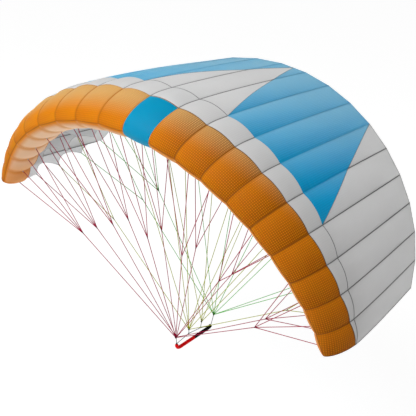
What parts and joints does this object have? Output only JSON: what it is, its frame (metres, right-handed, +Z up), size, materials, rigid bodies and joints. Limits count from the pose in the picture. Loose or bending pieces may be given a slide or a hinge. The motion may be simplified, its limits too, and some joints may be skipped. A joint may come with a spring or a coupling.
{
  "type": "parawing",
  "caption": "Parawing in its flying shape: an arched, ribbed single-skin canopy with a double-skin nose, bridle lines gathered into knots, and a short hand bar.",
  "frame": {"origin": "middle of the hand bar, on its axis, where the rider's hands hold it", "axes": "+X across the span to the wing's right, +Y along the chord from nose to tail, +Z up"},
  "size_m": [2.9166, 1.6063, 2.0604],
  "materials": {
    "orange_cloth": "thin coated ripstop cloth, square grid, low sheen",
    "pale_orange_cloth": "thin coated ripstop cloth, square grid, low sheen",
    "bright_blue_cloth": "thin coated ripstop cloth, square grid, low sheen",
    "blue_cloth": "thin coated ripstop cloth, square grid, low sheen",
    "grey_cloth": "thin coated ripstop cloth, square grid, low sheen",
    "rib_cloth": "thin coated ripstop cloth, square grid, low sheen",
    "red_line": "thin sheathed line, matt",
    "olive_line": "thin sheathed line, matt",
    "green_line": "thin sheathed line, matt",
    "leader_cord": "braided cord, matt",
    "red_grip": "soft moulded grip",
    "black_grip": "soft moulded grip"
  },
  "bodies": {
    "root": {"nose_skin_left": "orange_cloth", "nose_skin_centre": "bright_blue_cloth", "nose_skin_right": "orange_cloth", "nose_floor_left": "pale_orange_cloth", "nose_floor_centre": "bright_blue_cloth", "nose_floor_right": "pale_orange_cloth", "crest_band": "grey_cloth", "rear_panel_centre": "grey_cloth", "rear_panel_left": "blue_cloth", "rear_panel_right": "blue_cloth", "tip_panel_left": "grey_cloth", "tip_panel_right": "grey_cloth", "rib_left_0": "rib_cloth", "rib_left_1": "rib_cloth", "rib_left_2": "rib_cloth", "rib_left_3": "rib_cloth", "rib_left_4": "rib_cloth", "rib_left_5": "rib_cloth", "rib_left_6": "rib_cloth", "rib_left_7": "rib_cloth", "rib_left_8": "rib_cloth", "rib_left_9": "rib_cloth", "rib_right_0": "rib_cloth", "rib_right_1": "rib_cloth", "rib_right_2": "rib_cloth", "rib_right_3": "rib_cloth", "rib_right_4": "rib_cloth", "rib_right_5": "rib_cloth", "rib_right_6": "rib_cloth", "rib_right_7": "rib_cloth", "rib_right_8": "rib_cloth", "rib_right_9": "rib_cloth", "a_lines_left_inner": "red_line", "a_lines_left_middle": "red_line", "a_lines_left_tip": "red_line", "a_lines_right_inner": "red_line", "a_lines_right_middle": "red_line", "a_lines_right_tip": "red_line", "b_lines_left_inner": "red_line", "b_lines_left_middle": "red_line", "b_lines_left_tip": "red_line", "b_lines_right_inner": "red_line", "b_lines_right_middle": "red_line", "b_lines_right_tip": "red_line", "front_knot": "red_line", "c_lines": "olive_line", "d_lines": "olive_line", "tail_lines": "green_line", "front_leader": "leader_cord", "rear_leader": "leader_cord", "bar_front": "red_grip", "bar_rear": "black_grip"}
  },
  "joints": []
}
